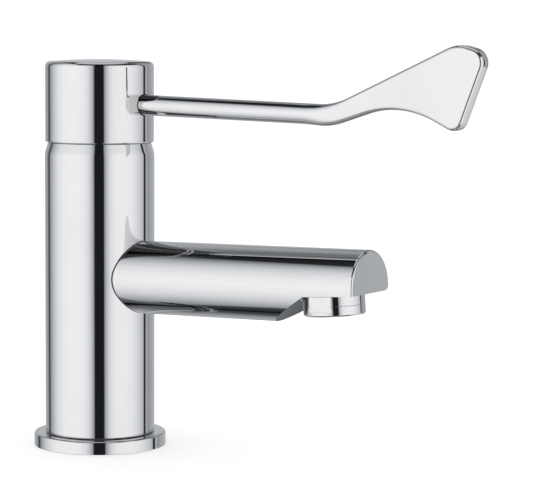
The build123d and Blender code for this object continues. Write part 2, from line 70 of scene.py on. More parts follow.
INNER_FINISHES = {
    "Seal rubber": (
        "base_gasket", "aerator_washer", "port_seal_cold", "port_seal_hot",
        "port_seal_outlet", "spindle_seal",
    ),
    "Cartridge plastic": ("aerator_insert", "cartridge_base", "cartridge_housing", "disc_carrier"),
    "Dark plastic": ("aerator_grid", "stop_ring", "slide_ring"),
    "Disc ceramic": ("fixed_disc", "moving_disc"),
    "Turned brass": ("cartridge_nut", "cap_hub", "spindle"),
    "Grub screw steel": ("grub_screw",),
}


def box_mm(node):
    """Lowest and highest corner of a CAD node in millimetres."""
    low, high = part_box(node)
    return np.array(low) / MILLIMETRE, np.array(high) / MILLIMETRE


# Curves

def unit(vector):
    """Vectors of the same directions with the length one."""
    return vector / np.linalg.norm(vector, axis=-1, keepdims=True)


def corner_arc(before, corner, after, radius, steps, margin):
    """Arc that touches both sides of a corner.

    A unit vector turns evenly from one side's direction to the other's, and the arc is the
    centre plus the radius times that vector's normal. One close point on each side of the arc
    keeps the flats beside it flat.
    """
    back, ahead = unit(before - corner), unit(after - corner)
    half = math.acos(np.clip(back @ ahead, -1, 1)) / 2
    reach = radius / math.tan(half)
    centre = corner + unit(back + ahead) * radius / math.sin(half)
    turn = math.pi - 2 * half
    share = np.linspace(0, 1, steps + 1)[:, None]
    start, end = corner + back * reach - centre, corner + ahead * reach - centre
    arc = (np.sin((1 - share) * turn) * start + np.sin(share * turn) * end) / math.sin(turn)
    along = (np.sin((1 - share) * turn) * -back + np.sin(share * turn) * ahead) / math.sin(turn)
    lead = corner + back * (reach + margin)
    trail = corner + ahead * (reach + margin)
    return np.vstack((lead, centre + arc, trail)), np.vstack((-back, along, ahead))


def rounded_run(points, radii, steps=8, margin=0.08):
    """Path of straight runs with an arc at each corner, and its direction at each point."""
    points = np.asarray(points, float)
    path, along = [points[:1]], [unit(points[1:2] - points[:1])]
    for before, corner, after, radius in zip(points[:-2], points[1:-1], points[2:], radii):
        arc, arc_along = corner_arc(before, corner, after, radius, steps, margin)
        path.append(arc)
        along.append(arc_along)
    path.append(points[-1:])
    along.append(unit(points[-1:] - points[-2:-1]))
    return np.concatenate(path), np.concatenate(along)


def rounded(points, radii, steps=8, margin=0.08):
    """Path of straight runs with an arc at each corner."""
    return rounded_run(points, radii, steps, margin)[0]


# Meshes

def grid(x, y, z):
    """Points from coordinates that stretch over one another."""
    return np.stack(np.broadcast_arrays(x, y, z), axis=-1)


def skin(rings, start=None, end=None, loop=False):
    """Faces over rings of points, P(i, j): i steps along the shape and j round it.

    A pole point closes an end with a fan, and loop joins the last ring to the first.
    """
    count, around = rings.shape[:2]
    step = np.arange(count if loop else count - 1)[:, None]
    place = np.arange(around)[None, :]
    ahead = (step + 1) % count
    beside = (place + 1) % around
    near, far = step * around, ahead * around
    quads = np.stack((near + place, near + beside, far + beside, far + place), axis=-1)
    points = rings.reshape(-1, 3)
    faces = quads.reshape(-1, 4).tolist()
    ring = np.arange(around)
    beside = (ring + 1) % around
    if start is not None:
        pole = np.full(around, len(points))
        points = np.vstack((points, start))
        faces += np.stack((pole, beside, ring), axis=-1).tolist()
    if end is not None:
        last = (count - 1) * around
        pole = np.full(around, len(points))
        points = np.vstack((points, end))
        faces += np.stack((pole, last + ring, last + beside), axis=-1).tolist()
    return points, faces


def lathe(profile, turns=256, loop=False):
    """Surface of revolution: (r cos a, r sin a, z) for each (r, z) of the profile.

    The profile runs outwards along the underside, up the outside and inwards over the top.
    """
    angle = np.arange(turns) * 2 * math.pi / turns
    start = end = None
    if not loop:
        start = (0.0, 0.0, profile[0, 1])
        end = (0.0, 0.0, profile[-1, 1])
        profile = profile[1:-1]
    radius, height = profile[:, :1], profile[:, 1:]
    rings = grid(radius * np.cos(angle), radius * np.sin(angle), height)
    return skin(rings, start, end, loop)


def placed(points, x, z, tilt):
    """Points turned by the tilt about Y, then moved along X and Z."""
    cosine, sine = math.cos(tilt), math.sin(tilt)
    moved = np.array(points, float)
    moved[:, 0] = x + points[:, 0] * cosine + points[:, 2] * sine
    moved[:, 2] = z - points[:, 0] * sine + points[:, 2] * cosine
    return moved


def lying(points):
    """Points of an upright shape laid down, so that its Z axis runs along X."""
    return grid(points[:, 2], points[:, 1], -points[:, 0])


def new_object(name, points, faces):
    """Smooth object in the scene from points in millimetres."""
    mesh = bpy.data.meshes.new(name)
    mesh.from_pydata(np.asarray(points, float) * MILLIMETRE, [], faces)
    mesh.update()
    made = bpy.data.objects.new(name, mesh)
    bpy.context.scene.collection.objects.link(made)
    return made


def smooth(piece):
    """Smooth shading that breaks at sharp edges."""
    mesh = piece.data
    mesh.polygons.foreach_set("use_smooth", np.ones(len(mesh.polygons), bool))
    mesh.set_sharp_from_angle(angle=SHARP_ANGLE)
    mesh.update()


def bake(piece):
    """Puts what a piece's modifiers make into its mesh."""
    graph = bpy.context.evaluated_depsgraph_get()
    made = bpy.data.meshes.new_from_object(piece.evaluated_get(graph))
    if not len(made.polygons):
        raise RuntimeError(f"{piece.name} has no faces left")
    piece.modifiers.clear()
    plain, name = piece.data, piece.data.name
    piece.data = made
    bpy.data.meshes.remove(plain)
    made.name = name


def weld(piece):
    """Merges points that lie on one another."""
    piece.modifiers.new("Weld", "WELD").merge_threshold = WELD_DISTANCE
    bake(piece)


def carve(piece, cutters):
    """Takes the room of the cutters out of the piece, and deletes them."""
    for cutter in cutters:
        cut = piece.modifiers.new("Cut", "BOOLEAN")
        cut.operation = "DIFFERENCE"
        cut.solver = "EXACT"
        cut.object = cutter
    bake(piece)
    for cutter in cutters:
        mesh = cutter.data
        bpy.data.objects.remove(cutter)
        bpy.data.meshes.remove(mesh)


def settle(piece, body, nodes, finish):
    """Shades a finished piece, gives it its material and hands it to its body."""
    smooth(piece)
    piece.data.materials.clear()
    piece.data.materials.append(finish)
    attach(piece, body)
    if nodes:
        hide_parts(*nodes)


def upright(radius, low, high, turns=128):
    """Points and faces of an upright cylinder."""
    return lathe(np.array(((0, low), (radius, low), (radius, high), (0, high)), float), turns)


def band(inner, outer, low, high, turns):
    """Points and faces of a flat upright ring."""
    profile = np.array(((inner, low), (outer, low), (outer, high), (inner, high)))
    return lathe(profile, turns, loop=True)


# Materials

def feed(tree, node, inputs):
    """Gives a node's inputs plain values, or links them to the output sockets given."""
    for name, value in dict(inputs).items():
        if isinstance(value, bpy.types.NodeSocket):
            tree.links.new(value, node.inputs[name])
        else:
            node.inputs[name].default_value = value


def add(tree, kind, label="", inputs=(), **settings):
    """Node with its settings and inputs in place."""
    node = tree.nodes.new(kind)
    node.label = label
    for name, value in settings.items():
        setattr(node, name, value)
    feed(tree, node, inputs)
    return node


def calculate(tree, operation, label, *values, **settings):
    """Output of a Math node."""
    node = add(tree, "ShaderNodeMath", label, enumerate(values), operation=operation, **settings)
    return node.outputs[0]


def noise(tree, label, vector, scale, detail, roughness=0.5):
    """Output of a Noise Texture."""
    values = {"Vector": vector, "Scale": scale, "Detail": detail, "Roughness": roughness}
    return add(tree, "ShaderNodeTexNoise", label, values).outputs[0]


def ramp(tree, label, factor, stops, mode="LINEAR"):
    """Output of a Color Ramp with grey steps, given as (place, value) pairs."""
    node = add(tree, "ShaderNodeValToRGB", label, {0: factor})
    steps = node.color_ramp
    steps.interpolation = mode
    while len(steps.elements) > 1:
        steps.elements.remove(steps.elements[-1])
    for number, (place, value) in enumerate(stops):
        step = steps.elements.new(place) if number else steps.elements[0]
        step.position = place
        step.color = (value, value, value, 1)
    return node.outputs[0]


def mixed(tree, label, factor, first, second, kind="MIX"):
    """Output of a colour mix whose two ends are sockets or plain colours."""
    ends = [end if isinstance(end, bpy.types.NodeSocket) else (*end, 1) for end in (first, second)]
    inputs = {0: factor, 6: ends[0], 7: ends[1]}
    return add(tree, "ShaderNodeMix", label, inputs, data_type="RGBA", blend_type=kind).outputs[2]


def between(tree, label, factor, low, high):
    """Output of a value between low and high, chosen by the factor."""
    values = {"Value": factor, "To Min": low, "To Max": high}
    return add(tree, "ShaderNodeMapRange", label, values).outputs[0]


def relief(tree, label, height, strength, distance):
    """Normal that follows a height, in metres at full strength."""
    values = {"Height": height, "Strength": strength, "Distance": distance}
    return add(tree, "ShaderNodeBump", label, values).outputs[0]


def make_group(name, inputs, outputs):
    """Empty shader group with named sockets; an input with no value of its own is a vector."""
    group = bpy.data.node_groups.new(name, "ShaderNodeTree")
    for socket, value in inputs.items():
        kind = "NodeSocketVector" if value is None else "NodeSocketFloat"
        made = group.interface.new_socket(socket, in_out="INPUT", socket_type=kind)
        if value is not None:
            made.default_value = value
    for socket, kind in outputs.items():
        group.interface.new_socket(socket, in_out="OUTPUT", socket_type=kind)
    return group, group.nodes.new("NodeGroupInput").outputs, group.nodes.new("NodeGroupOutput")


def effect(tree, name, values):
    """Outputs of a shared group placed in a tree with its own values."""
    return add(tree, "ShaderNodeGroup", "", values, node_tree=bpy.data.node_groups[name]).outputs


def make_handling_marks():
    """Faint cloudy wipe marks with fine streaks in them, from 0 for clean to 1 for dull."""
    group, given, result = make_group(
        "Handling marks", {"Vector": None, "Scale": 40.0, "Amount": 0.5},
        {"Mask": "NodeSocketFloat"},
    )
    clouds = noise(group, "Clouds", given["Vector"], given["Scale"], 4.0, 0.6)
    patches = ramp(group, "Patches", clouds, ((0.42, 0.0), (0.7, 1.0)), "EASE")
    stretch = {"Vector": given["Vector"], "Scale": (1.0, 1.0, 0.12)}
    stretched = add(group, "ShaderNodeMapping", "Streak shape", stretch).outputs[0]
    finer = calculate(group, "MULTIPLY", "Finer", given["Scale"], 9.0)
    streaks = noise(group, "Streaks", stretched, finer, 3.0, 0.7)
    both = calculate(group, "MULTIPLY", "Streaks in patches", patches, streaks)
    mask = calculate(group, "MULTIPLY", "Amount", both, given["Amount"], use_clamp=True)
    feed(group, result, {"Mask": mask})


def make_fine_grain():
    """Fine even grain of a moulded, cast or ground surface, with a slower drift of tone."""
    group, given, result = make_group(
        "Fine grain", {"Vector": None, "Grain scale": 2500.0, "Drift scale": 60.0},
        {"Height": "NodeSocketFloat", "Drift": "NodeSocketFloat"},
    )
    grain = noise(group, "Grain", given["Vector"], given["Grain scale"], 2.0)
    drift = noise(group, "Drift", given["Vector"], given["Drift scale"], 3.0, 0.55)
    feed(group, result, {"Height": grain, "Drift": drift})


def make_turning_lines():
    """Fine rings that a lathe tool leaves: a wave over the distance from Z plus the height."""
    group, given, result = make_group(
        "Turning lines", {"Vector": None, "Lines per metre": 4000.0, "Wander": 0.5},
        {"Height": "NodeSocketFloat"},
    )
    vector, kind = given["Vector"], "ShaderNodeVectorMath"
    flat = add(group, kind, "From the axis", {0: vector, 1: (1, 1, 0)}, operation="MULTIPLY")
    radius = add(group, kind, "Radius", {0: flat.outputs[0]}, operation="LENGTH").outputs["Value"]
    height = add(group, "ShaderNodeSeparateXYZ", "", {0: vector}).outputs["Z"]
    total = calculate(group, "ADD", "Radius plus height", radius, height)
    wander = noise(group, "Wander", vector, 90.0, 2.0)
    shift = calculate(group, "MULTIPLY", "Shift", wander, given["Wander"])
    turns = calculate(group, "MULTIPLY_ADD", "Lines", total, given["Lines per metre"], shift)
    feed(group, result, {"Height": calculate(group, "SINE", "Wave", turns)})


def new_material(name):
    """Material with a Principled BSDF and object coordinates."""
    material = bpy.data.materials.new(name)
    material.use_nodes = True
    tree = material.node_tree
    tree.nodes.clear()
    surface = add(tree, "ShaderNodeBsdfPrincipled")
    add(tree, "ShaderNodeOutputMaterial", "", {"Surface": surface.outputs[0]})
    place = add(tree, "ShaderNodeTexCoord")
    return material, tree, surface, place.outputs["Object"]


def grain_of(tree, place, grain_scale, drift_scale):
    """Outputs of the fine grain at two scales of its own."""
    values = {"Vector": place, "Grain scale": grain_scale, "Drift scale": drift_scale}
    return effect(tree, "Fine grain", values)


def marks_of(tree, place, scale, amount):
    """Mask of the handling marks at a scale and an amount of its own."""
    values = {"Vector": place, "Scale": scale, "Amount": amount}
    return effect(tree, "Handling marks", values)["Mask"]


def make_chrome(name, settings):
    """Bright chrome plate: a mirror with faint wipe marks and the soft wave of the polish."""
    material, tree, surface, place = new_material(name)
    marks = marks_of(tree, place, 38.0, 0.8)
    wave = grain_of(tree, place, 210.0, 24.0)["Height"]
    tone, rough = np.array(settings.chrome_colour), settings.chrome_roughness
    feed(tree, surface, {
        "Metallic": 1.0,
        "Specular Tint": (*(settings.chrome_edge,) * 3, 1),
        "Base Color": mixed(tree, "Plate", marks, tone, tone * 0.93),
        "Roughness": between(tree, "Polish", marks, rough, rough * 2.4),
        "Normal": relief(tree, "Polish wave", wave, 0.05, 0.00002),
    })
    return material


def make_metal(name, colour, tint, roughness, lines, wander):
    """Turned bare metal with tool lines and a slight tarnish."""
    material, tree, surface, place = new_material(name)
    values = {"Vector": place, "Lines per metre": lines, "Wander": wander}
    turned = effect(tree, "Turning lines", values)["Height"]
    drift = grain_of(tree, place, 1800.0, 120.0)["Drift"]
    feed(tree, surface, {
        "Metallic": 1.0,
        "Base Color": mixed(tree, "Tarnish", drift, colour, tint),
        "Roughness": between(tree, "Dullness", drift, roughness * 0.8, roughness * 1.3),
        "Normal": relief(tree, "Tool lines", turned, 0.25, 0.00002),
    })
    return material


def make_moulded(name, colour, shade, roughness, grain_scale, depth):
    """Moulded plastic or rubber with a fine grain and a slow drift of tone."""
    material, tree, surface, place = new_material(name)
    grain = grain_of(tree, place, grain_scale, 80.0)
    marks = marks_of(tree, place, 90.0, 0.7)
    feed(tree, surface, {
        "Base Color": mixed(tree, "Tone", grain["Drift"], colour, shade),
        "Roughness": between(tree, "Wear", marks, roughness, min(1.0, roughness * 1.35)),
        "Normal": relief(tree, "Mould grain", grain["Height"], 0.35, depth),
    })
    return material


def make_ceramic(name, colour, shade):
    """Lapped ceramic: nearly white, smooth, with the faint specks of its firing."""
    material, tree, surface, place = new_material(name)
    grain = grain_of(tree, place, 3000.0, 150.0)
    specks = ramp(tree, "Specks", grain["Height"], ((0.62, 0.0), (0.72, 1.0)))
    feed(tree, surface, {
        "Base Color": mixed(tree, "Body", specks, colour, shade),
        "Roughness": between(tree, "Lapping", grain["Drift"], 0.18, 0.3),
        "Normal": relief(tree, "Pores", grain["Height"], 0.1, 0.00001),
    })
    return material


def make_floor_material(settings):
    """Pale matt floor that reads white to the camera and still takes the tap's shadow."""
    material, tree, surface, place = new_material("Pale floor")
    tone = np.array(settings.floor_colour)
    drift = grain_of(tree, place, 900.0, 6.0)["Drift"]
    seen = add(tree, "ShaderNodeLightPath").outputs["Is Camera Ray"]
    feed(tree, surface, {
        "Base Color": mixed(tree, "Tone", drift, tone, tone * 0.985),
        "Roughness": 0.9,
        "Specular IOR Level": 0.0,
        "Emission Color": (1, 1, 1, 1),
        "Emission Strength": calculate(
            tree, "MULTIPLY", "Only to the camera", seen, settings.floor_glow
        ),
    })
    return material


# Studio

def fade(middle, peak, end, edge, lean, power):
    """Stops of a soft panel from its brightest place to one of its ends.

    The value at the share u of the way is peak - lean u^2 - (peak - edge - lean) u^power.
    """
    share = np.array((0.3, 0.55, 0.75, 0.9, 1.0))
    value = peak - lean * share ** 2 - (peak - edge - lean) * share ** power
    return tuple(zip(middle + (end - middle) * share, value))


def panel(middle, peak, low_side, high_side):
    """Stops of a whole soft panel, whose sides give their end, edge, lean and power."""
    return *fade(middle, peak, *low_side)[::-1], (middle, peak), *fade(middle, peak, *high_side)


# Tones run from 0 to 255 over the azimuth in degrees, from the camera's side to the right.
GAP_END = 111.6
TONES = (
    (-180, 178), (-160, 172), (-142, 150), (-135, 60), (-131.5, 60),
    *panel(-60, 239, (-128.5, 140, 0, 3), (-12.2, 140, 16, 7)), (-11.1, 27), (8.3, 27),
    *panel(55, 235, (9.6, 140, 0, 5.7), (104.8, 178, 0, 2)), (105.8, 38), (GAP_END, 38),
)
TONES_BEHIND = (
    (GAP_END, 38), (113, 148), (114.3, 173), (117, 172), *fade(180, 178, 121, 143, 0, 3)[::-1],
    (180, 178),
)
# Each falloff is a share of the tone over the height in degrees.
FRONT_HEIGHTS = (
    (-90, 0.55), (-64, 0.5), (-61, 0.12), (-54, 0.2), (-47, 0.42), (-40, 0.78), (-30, 0.95),
    (0, 1.0), *fade(0, 1.0, 33.4, 0.84, 0, 2.2), (34.6, 0.06), (90, 0.06),
)
SIDE_HEIGHTS = (
    (-90, 0.55), (-67, 0.5), (-64, 0.06), (-57.6, 0.08),
    *panel(0, 1.0, (-56.4, 0.39, 0.55, 8), (53.8, 0.26, 0.52, 12)),
    (55, 0.03), (60, 0.03), (90, 0.1),
)
BACKDROP_HEIGHTS = (
    (-90, 0.55), (-67, 0.5), (-64, 0.1), (-56, 0.15),
    *panel(0, 1.0, (-50, 0.44, 0.3, 10), (51, 0.33, 0, 3.5)),
    (53.5, 0.45), (55, 0.45), (56.5, 0.08), (90, 0.15),
)
# Each mask is a share over the azimuth, or over the height for the last of a pair.
SIDE_PLACES = ((-180, 0), (-134, 0), (-130, 1), (106, 1), (110, 0), (180, 0))
FRONT_PLACES = ((-180, 0), (-65, 0), (-54, 1), (100, 1), (106, 0), (180, 0))
DOORWAY_TONE = 86
DOORWAY_PLACES = ((-180, 0.3), (-175, 0), (139, 0), (155, 1), (172, 1), (180, 0.3))
DOORWAY_HEIGHTS = (
    (-90, 0), (-28, 0), (-26, 0.15), (-24, 1), (-17, 1), (-12, 0), (12, 0), (25, 1), (90, 1),
)
TABLE_TONE = 207
TABLE_PLACES = (
    (-180, 0), (96, 0), (101, 1), (112, 1), (124, 0.9), (146, 0.4), (156, 0), (180, 0),
)
TABLE_HEIGHTS = ((-90, 0), (-62, 0), (-48, 1), (-16.5, 1), (-12.5, 0), (90, 0))
# The ceiling starts at these heights in degrees, and its edge is a share of the half circle.
CEILING_TONE = 184
CEILING_STARTS = (
    (-180, 41), (-170, 46), (-160, 53), (-150, 58), (-140, 60), (-90, 62), (100, 62), (112, 60),
    (150, 52), (165, 42), (180, 41),
)
CEILING_EDGE = 0.012
COOL_TINT = (0.93, 0.985, 1.06)
PLAIN_TINT = (1.01, 1.0, 0.995)


def linear(tone):
    """Light value of a tone from 0 to 255."""
    share = tone / 255
    return share / 12.92 if share <= 0.04045 else ((share + 0.055) / 1.055) ** 2.4


def make_soft_panels():
    """What stands round the tap: two tall soft panels, dark gaps, a grey backdrop, a ceiling.

    The azimuth chooses a tone and the height above or below the horizon dims it: most slowly in
    front, sooner at the sides and soonest on the backdrop. The ceiling starts at a height that
    depends on the azimuth, and a dim doorway and a pale table show behind on the right. Darker
    tones are cooler.
    """
    group, given, result = make_group(
        "Soft panels", {"Direction": None, "Turn": 0.0, "Level": 1.0}, {"Colour": "NodeSocketColor"}
    )
    values = {"Vector": given["Direction"], "Angle": given["Turn"]}
    turned = add(
        group, "ShaderNodeVectorRotate", "To the camera", values, rotation_type="Z_AXIS"
    ).outputs[0]
    parts = add(group, "ShaderNodeSeparateXYZ", "", {0: turned}).outputs

    def scan(label, place, half):
        """The angle as a share of the range from -half to half."""
        values = {"Value": place, "From Min": -half, "From Max": half}
        return add(group, "ShaderNodeMapRange", label, values).outputs[0]

    azimuth = calculate(group, "ARCTAN2", "Azimuth", parts["Y"], parts["X"])
    height = calculate(group, "ARCSINE", "Height", parts["Z"])
    round_it = scan("Round the tap", azimuth, math.pi)
    up = scan("Down to up", height, math.pi / 2)

    def over_azimuth(label, pairs):
        stops = [((place + 180) / 360, value) for place, value in pairs]
        return ramp(group, label, round_it, stops)

    def over_height(label, pairs):
        return ramp(group, label, up, [((place + 90) / 180, value) for place, value in pairs])

    def tones(label, pairs):
        return over_azimuth(label, [(place, linear(tone)) for place, tone in pairs])

    def where(label, first, second):
        return calculate(group, "MULTIPLY", label, first, second)

    near = tones("Tones", TONES)
    far = tones("Tones behind on the right", TONES_BEHIND)
    past = calculate(group, "GREATER_THAN", "Past the gap", round_it, (GAP_END + 180) / 360)
    tone = mixed(group, "Tone", past, near, far)
    side = mixed(
        group, "Side or backdrop", over_azimuth("Side panels", SIDE_PLACES),
        over_height("Backdrop falloff", BACKDROP_HEIGHTS),
        over_height("Side falloff", SIDE_HEIGHTS),
    )
    falloff = mixed(
        group, "Front or side", over_azimuth("Front", FRONT_PLACES), side,
        over_height("Front falloff", FRONT_HEIGHTS),
    )
    light = mixed(group, "Tone times falloff", 1.0, tone, falloff, "MULTIPLY")
    doorway = where(
        "Where the doorway is", over_azimuth("Far right", DOORWAY_PLACES),
        over_height("Off the horizon", DOORWAY_HEIGHTS),
    )
    light = mixed(group, "Doorway", doorway, light, (linear(DOORWAY_TONE),) * 3)
    starts = [(place, (rise + 90) / 180) for place, rise in CEILING_STARTS]
    start = over_azimuth("Ceiling start", starts)
    over = calculate(group, "SUBTRACT", "Over the ceiling's start", up, start)
    ceiling = add(
        group, "ShaderNodeMapRange", "Ceiling", {"Value": over, "From Max": CEILING_EDGE},
        interpolation_type="SMOOTHSTEP",
    ).outputs[0]
    light = mixed(group, "Ceiling", ceiling, light, (linear(CEILING_TONE),) * 3)
    table = where(
        "Where the table is", over_azimuth("Behind on the right", TABLE_PLACES),
        over_height("Below the horizon", TABLE_HEIGHTS),
    )
    light = mixed(group, "Table", table, light, (linear(TABLE_TONE),) * 3)
    tint = mixed(group, "Cooler in the dark", light, COOL_TINT, PLAIN_TINT)
    light = mixed(group, "Tint", 1.0, light, tint, "MULTIPLY")
    light = mixed(group, "Level", 1.0, light, given["Level"], "MULTIPLY")
    feed(group, result, {"Colour": light})


def make_world(settings):
    """White to the camera, the soft panels in gloss, and even light on everything else."""
    world = bpy.data.worlds.new("Studio")
    world.use_nodes = True
    tree = world.node_tree
    tree.nodes.clear()
    place = add(tree, "ShaderNodeTexCoord").outputs["Generated"]
    values = {"Direction": place, "Turn": settings.panels_turn, "Level": settings.panels_level}
    panels = effect(tree, "Soft panels", values)["Colour"]
    rays = add(tree, "ShaderNodeLightPath").outputs
    even = (settings.room_level,) * 3
    lit = mixed(tree, "Gloss sees the panels", rays["Is Glossy Ray"], even, panels)
    seen = mixed(tree, "The camera sees white", rays["Is Camera Ray"], lit, (1, 1, 1))
    light = add(tree, "ShaderNodeBackground", "", {"Color": seen, "Strength": 1.0})
    add(tree, "ShaderNodeOutputWorld", "", {"Surface": light.outputs[0]})
    bpy.context.scene.world = world


def make_floor(settings):
    """Flat square floor at the deck's height."""
    reach = settings.floor_size / 2 / MILLIMETRE
    corners = np.array(((-1, -1, 0), (1, -1, 0), (1, 1, 0), (-1, 1, 0))) * reach
    floor = new_object("floor", corners, [(0, 1, 2, 3)])
    floor.data.materials.append(make_floor_material(settings))
    floor.visible_glossy = False


def make_camera(settings):
    """Camera at the photograph's viewing point, in the tap's own directions."""
    yaw, pitch, roll, turn = settings.yaw, settings.pitch, settings.roll, settings.turn
    forward = Vector(
        (math.sin(yaw) * math.cos(pitch), math.cos(yaw) * math.cos(pitch), -math.sin(pitch))
    )
    right = Vector((math.cos(yaw), -math.sin(yaw), 0))
    up = right.cross(forward)
    side = math.cos(roll) * right + math.sin(roll) * up
    top = -math.sin(roll) * right + math.cos(roll) * up
    facing = Matrix((side, top, -forward)).transposed().to_4x4()
    stand = Matrix.Translation((0, -settings.distance, settings.height))
    data = bpy.data.cameras.new("Camera")
    data.lens = settings.lens
    data.sensor_width = 36
    data.clip_end = 50
    camera = bpy.data.objects.new("Camera", data)
    camera.matrix_world = Matrix.Rotation(turn, 4, "Z") @ stand @ facing
    bpy.context.scene.collection.objects.link(camera)
    bpy.context.scene.camera = camera


# Pieces

def build_column(sizes):
    """Column: a lathe profile of foot, side, tapered shoulder and cartridge bore.

    An arc joins the shoulder to the side. Sockets for the inlets and the stud are cut in the
    underside.
    """
    radius = sizes.column_radius / MILLIMETRE
    top = box_mm("column")[1][2]
    seat = box_mm("base_ring")[1][2]
    foot = seat + sizes.foot_gap / MILLIMETRE
    rise, inset = 4.4, 1.3
    spigot, mouth, bore, ledge, floor = 20.5, 18.7, 17.6, 112, 88
    profile = rounded(
        (
            (0, 0), (spigot, 0), (spigot, foot), (radius, foot), (radius, top - rise),
            (radius - inset, top), (mouth, top), (mouth, ledge), (bore, ledge), (bore, floor),
            (0, floor),
        ),
        (0.2, 0.02, 0.5, 9.0, 0.12, 0.15, 0.02, 0.02, 0.2), steps=12, margin=0.05,
    )
    column = new_object("column_surface", *lathe(profile, 320))
    cutters = []
    # Angle in degrees, distance from the axis, radius and depth of each socket
    sockets = ((138.8, 10.6, 4.5, 12), (-138.8, 10.6, 4.5, 12), (0, 11, 3.4, 15))
    for number, (angle, reach, hole, depth) in enumerate(sockets):
        points, faces = upright(hole, -2, depth, 64)
        points[:, 0] += reach * math.cos(math.radians(angle))
        points[:, 1] += reach * math.sin(math.radians(angle))
        cutters.append(new_object(f"socket_{number}", points, faces))
    carve(column, cutters)
    return column


def build_base_ring(sizes):
    """Base ring: a closed lathe profile with a rounded rim and the gasket's groove."""
    radius, _, top = box_mm("base_ring")[1]
    bore, inner, outer, groove = 20.56, 22.85, 25.35, 1.6
    edge = sizes.ring_edge / MILLIMETRE
    profile = rounded(
        (
            (bore, 2), (bore, 0), (inner, 0), (inner, groove), (outer, groove), (outer, 0),
            (radius, 0), (radius, top), (bore, top), (bore, 2),
        ),
        (0.1, 0.05, 0.05, 0.05, 0.05, 0.2, edge, 0.1), steps=8, margin=0.05,
    )
    return new_object("base_ring_surface", *lathe(profile[:-1], 320, loop=True))


def spout_halves(along):
    """Half width and half height of the spout's section, from an oval to a circle."""
    share = along / SPOUT_LENGTH
    return [half + (SPOUT_END_RADIUS - half) * share for half in SPOUT_ROOT_HALVES]


def spout_root(angle, radius, slope):
    """Where the spout's skin meets an upright cylinder round Z, for each angle of the section."""
    half_width, half_height = 15.5, 14.8
    y, z = half_width * np.sin(angle), half_height * np.cos(angle)
    return (np.sqrt(radius ** 2 - y ** 2) + z * math.sin(slope)) / math.cos(slope)


def spout_rings(along, inset, angle):
    """Sections of the spout's skin, inside it by the inset: (x, -w(x) sin a, h(x) cos a)."""
    width, height = spout_halves(along)
    return grid(along, -(width - inset) * np.sin(angle), (height - inset) * np.cos(angle))


def on_spout(name, sizes, points, faces):
    """Object from points of the spout's own frame."""
    height = sizes.spout_height / MILLIMETRE
    return new_object(name, placed(points, 0, height, -sizes.spout_slope), faces)


def on_outlet(name, sizes, points, faces):
    """Object from points of the outlet's own frame."""
    height = sizes.outlet_height / MILLIMETRE
    return new_object(name, placed(points, OUTLET_PLACE, height, -sizes.outlet_tilt), faces)


def on_lever(name, sizes, slope, points, faces):
    """Object from points whose X axis is the lever's, at a slope of its own."""
    return new_object(name, placed(points, 0, sizes.lever_height / MILLIMETRE, slope), faces)


def build_shade_seals(sizes):
    """Dark rubber seals in the joints at the column's foot, the spout's root and the aerator's
    collar: painted shade, dark lines where the gaps' shadow falls.

    The foot's and the collar's seals are lathe rings. The spout's seal is a sleeve whose ends
    follow the column's side, x = sqrt(R squared - y squared), a little inside the spout's skin.
    """
    seat = box_mm("base_ring")[1][2]
    gap, foot_gap = sizes.seal_gap / MILLIMETRE, sizes.foot_gap / MILLIMETRE
    column_radius = sizes.column_radius / MILLIMETRE
    # Dark rings that fill the joints' gaps: painted shade of the gaps.
    foot = new_object("foot_shade_seal", *band(20.6, column_radius - 0.9, seat, seat + foot_gap, 192))
    angle = np.arange(192) * 2 * math.pi / 192
    low, high = (
        spout_root(angle, column_radius + reach, sizes.spout_slope) for reach in (-0.6, gap + 0.15)
    )
    deep, shallow = 3.0, 0.25
    inset = np.array((deep, shallow, shallow, deep))[:, None]
    rings = spout_rings(np.stack((low, low, high, high)), inset, angle)
    root = on_spout("spout_shade_seal", sizes, *skin(rings, loop=True))
    outlet = on_outlet("outlet_shade_seal", sizes, *band(11.52, 11.75, -0.4, 0.6, 160))
    return foot, root, outlet


def build_spout(sizes):
    """Spout: sections that pass evenly from an oval at the column to a circle at the end.

    A point of the skin is (x, -w(x) sin a, h(x) cos a) in the spout's own frame, whose half
    width w and half height h shrink with x. The root follows the column's side, and the edges
    of both ends are quarter circles. The flat underside, its facet and the aerator's seat are
    cut out.
    """
    root_edge, edge, margin, wall = 0.35, 0.9, 0.06, 3.0
    angle = np.arange(256) * 2 * math.pi / 256
    start = (sizes.column_radius + sizes.seal_gap) / MILLIMETRE
    root = spout_root(angle, start, sizes.spout_slope)
    bend = np.linspace(0, math.pi / 2, 9)[:, None]
    begin = np.vstack((root, root + root_edge * (1 - np.cos(bend)), root + 0.42))
    straight = SPOUT_LENGTH - edge - margin - begin[-1]
    run = begin[-1] + straight * np.linspace(0, 1, 48)[1:, None]
    end = (SPOUT_LENGTH,)
    finish = np.vstack((SPOUT_LENGTH - edge + edge * np.sin(bend), end, end))
    along = np.vstack((begin, run, finish + np.zeros_like(angle)))
    inset = np.vstack(
        (
            (wall,), root_edge * (1 - np.sin(bend)), (0.0,), np.zeros((len(run), 1)),
            edge * (1 - np.cos(bend)), (edge + margin,), (SPOUT_END_RADIUS - wall,),
        )
    )
    rings = spout_rings(along, inset, angle)
    surface = skin(rings, (along[0, 64], 0, 0), (SPOUT_LENGTH, 0, 0))
    spout = on_spout("spout_surface", sizes, *surface)
    cuts = {
        "outlet_cut": outlet_wedge(),
        "recess_cut": upright(12.3, -12, 0),
        "seat_cut": upright(AERATOR_SEAT_RADIUS, -2, 8),
    }
    carve(spout, [on_outlet(name, sizes, *cut) for name, cut in cuts.items()])
    return spout


